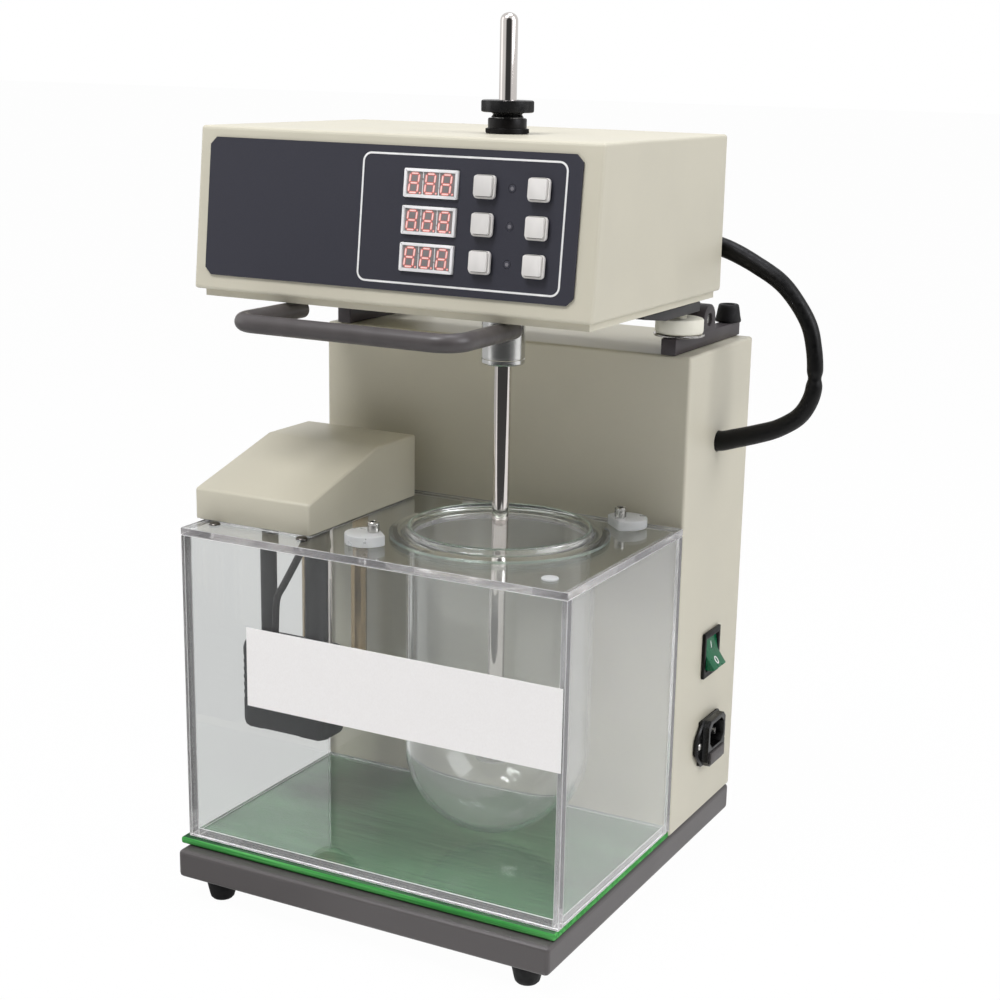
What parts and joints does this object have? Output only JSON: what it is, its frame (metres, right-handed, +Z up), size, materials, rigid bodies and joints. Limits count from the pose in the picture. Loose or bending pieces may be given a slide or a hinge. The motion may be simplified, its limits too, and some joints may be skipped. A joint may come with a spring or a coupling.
{
  "type": "tablet dissolution tester",
  "caption": "Bench-top tester that turns a basket in a glass vessel, warmed by a clear water bath, with a tilting drive head.",
  "frame": {"origin": "middle of the whole tester, without its cable sleeve, on the surface that the feet stand on", "axes": "+X to the right and +Y to the back as seen from the control panel, +Z up"},
  "size_m": [0.3184, 0.283, 0.5204],
  "materials": {
    "beige_paint": "fine powder coat",
    "dark_paint": "satin dark grey",
    "hinge_paint": "satin dark grey",
    "black_paint": "satin black",
    "rubber": "matte",
    "green_foam": "matte foam",
    "black_plastic": "satin",
    "grey_plastic": "satin",
    "green_plastic": "gloss",
    "green_board": "coated board",
    "steel": "polished",
    "aluminium": "turned",
    "nylon": "natural nylon",
    "white_nylon": "natural nylon",
    "white_plastic": "satin",
    "grey_button": "satin",
    "grey_grip": "soft grey coating",
    "dark_overlay": "satin film",
    "dark_lens": "clear dark",
    "clear_acrylic": "polished clear",
    "glass": "polished clear",
    "paper": "coated paper"
  },
  "bodies": {
    "stand": {"base_tray": "dark_paint", "foot_front_left": "rubber", "foot_front_right": "rubber", "foot_rear_left": "rubber", "foot_rear_right": "rubber", "bath_mat": "green_foam", "column_shell": "beige_paint", "column_back_cover": "beige_paint", "power_supply": "green_board", "mains_inlet": "black_plastic", "switch_housing": "black_plastic", "hinge_block_left": "hinge_paint", "hinge_block_right": "hinge_paint", "hinge_pin_left": "steel", "hinge_pin_right": "steel", "rest_pad_left": "nylon", "rest_pad_right": "nylon", "rubber_stop_left": "rubber", "rubber_stop_right": "rubber", "bath_tank": "clear_acrylic", "bath_lid": "clear_acrylic", "cam_screw_left": "steel", "cam_screw_right": "steel", "instruction_plate": "paper", "heater_cover": "beige_paint", "heater_base_plate": "steel", "pump_housing": "black_plastic", "pump_lead": "rubber", "heater_element": "steel", "temperature_probe": "steel", "cable_sleeve": "rubber"},
    "head": {"head_base_plate": "beige_paint", "head_cover": "beige_paint", "hinge_arm_left": "black_paint", "hinge_arm_right": "black_paint", "carry_handle": "grey_grip", "panel_overlay": "dark_overlay", "display_board": "white_plastic", "indicator_lamps": "dark_lens", "drive_motor": "steel", "drive_belt": "rubber", "lower_bearing_housing": "aluminium", "top_bearing_cap": "black_plastic"},
    "spindle": {"spindle": "steel"},
    "motor_pulley": {"motor_pulley": "aluminium"},
    "chuck_nut": {"chuck_nut": "black_plastic"},
    "stirrer": {"stirring_shaft": "steel", "basket": "steel"},
    "temperature_down_button": {"temperature_down_button": "grey_button"},
    "temperature_up_button": {"temperature_up_button": "grey_button"},
    "speed_down_button": {"speed_down_button": "grey_button"},
    "speed_up_button": {"speed_up_button": "grey_button"},
    "time_down_button": {"time_down_button": "grey_button"},
    "time_up_button": {"time_up_button": "grey_button"},
    "power_rocker": {"power_rocker": "green_plastic"},
    "fuse_drawer": {"fuse_drawer": "grey_plastic"},
    "cam_left": {"cam_left": "white_nylon"},
    "cam_right": {"cam_right": "white_nylon"},
    "vessel": {"vessel": "glass"},
    "pump_impeller": {"pump_impeller": "white_nylon"}
  },
  "joints": [
    {"name": "head_tilt", "type": "hinge", "parent": "stand", "child": "head", "pos_m": [0, 0.0903, 0.3478], "axis": [-1, 0, 0], "range_deg": [0, 7], "deforming": ["cable_sleeve"]},
    {"name": "spindle_turn", "type": "hinge", "parent": "head", "child": "spindle", "pos_m": [0.03772, -0.0295, 0.4568], "axis": [0, 0, 1], "continuous": true},
    {"name": "motor_pulley_turn", "type": "hinge", "parent": "head", "child": "motor_pulley", "pos_m": [-0.05208, -0.0125, 0.4171], "axis": [0, 0, 1], "continuous": true},
    {"name": "chuck_nut_turn", "type": "hinge", "parent": "spindle", "child": "chuck_nut", "pos_m": [0.03772, -0.0295, 0.4654], "axis": [0, 0, 1], "range_deg": [0, 180]},
    {"name": "stir_shaft_slide", "type": "slide", "parent": "spindle", "child": "stirrer", "axis": [0, 0, 1], "range_m": [-0.015, 0.175]},
    {"name": "temperature_down_button_press", "type": "slide", "parent": "head", "child": "temperature_down_button", "axis": [0, 0.9934, -0.1148], "range_m": [0, 0.001], "stiffness_N_per_m": 400, "springref_m": -0.0002},
    {"name": "temperature_up_button_press", "type": "slide", "parent": "head", "child": "temperature_up_button", "axis": [0, 0.9934, -0.1148], "range_m": [0, 0.001], "stiffness_N_per_m": 400, "springref_m": -0.0002},
    {"name": "speed_down_button_press", "type": "slide", "parent": "head", "child": "speed_down_button", "axis": [0, 0.9934, -0.1148], "range_m": [0, 0.001], "stiffness_N_per_m": 400, "springref_m": -0.0002},
    {"name": "speed_up_button_press", "type": "slide", "parent": "head", "child": "speed_up_button", "axis": [0, 0.9934, -0.1148], "range_m": [0, 0.001], "stiffness_N_per_m": 400, "springref_m": -0.0002},
    {"name": "time_down_button_press", "type": "slide", "parent": "head", "child": "time_down_button", "axis": [0, 0.9934, -0.1148], "range_m": [0, 0.001], "stiffness_N_per_m": 400, "springref_m": -0.0002},
    {"name": "time_up_button_press", "type": "slide", "parent": "head", "child": "time_up_button", "axis": [0, 0.9934, -0.1148], "range_m": [0, 0.001], "stiffness_N_per_m": 400, "springref_m": -0.0002},
    {"name": "power_rocker_tip", "type": "hinge", "parent": "stand", "child": "power_rocker", "pos_m": [0.12522, 0.0931, 0.139], "axis": [0, 1, 0], "range_deg": [0, 46]},
    {"name": "fuse_drawer_slide", "type": "slide", "parent": "stand", "child": "fuse_drawer", "axis": [1, 0, 0], "range_m": [0, 0.018]},
    {"name": "cam_left_turn", "type": "hinge", "parent": "stand", "child": "cam_left", "pos_m": [-0.01522, -0.08189, 0.2306], "axis": [0, 0, 1], "range_deg": [-45, 45]},
    {"name": "cam_right_turn", "type": "hinge", "parent": "stand", "child": "cam_right", "pos_m": [0.08936, 0.02417, 0.2306], "axis": [0, 0, 1], "range_deg": [-45, 45]},
    {"name": "vessel_lift", "type": "slide", "parent": "stand", "child": "vessel", "axis": [0, 0, 1], "range_m": [0, 0.015]},
    {"name": "pump_impeller_spin", "type": "hinge", "parent": "stand", "child": "pump_impeller", "pos_m": [-0.09108, -0.05099, 0.1005], "axis": [0, 0, 1], "continuous": true}
  ],
  "couplings": [
    {"joint": "motor_pulley_turn", "follows": "spindle_turn", "ratio": 2}
  ]
}
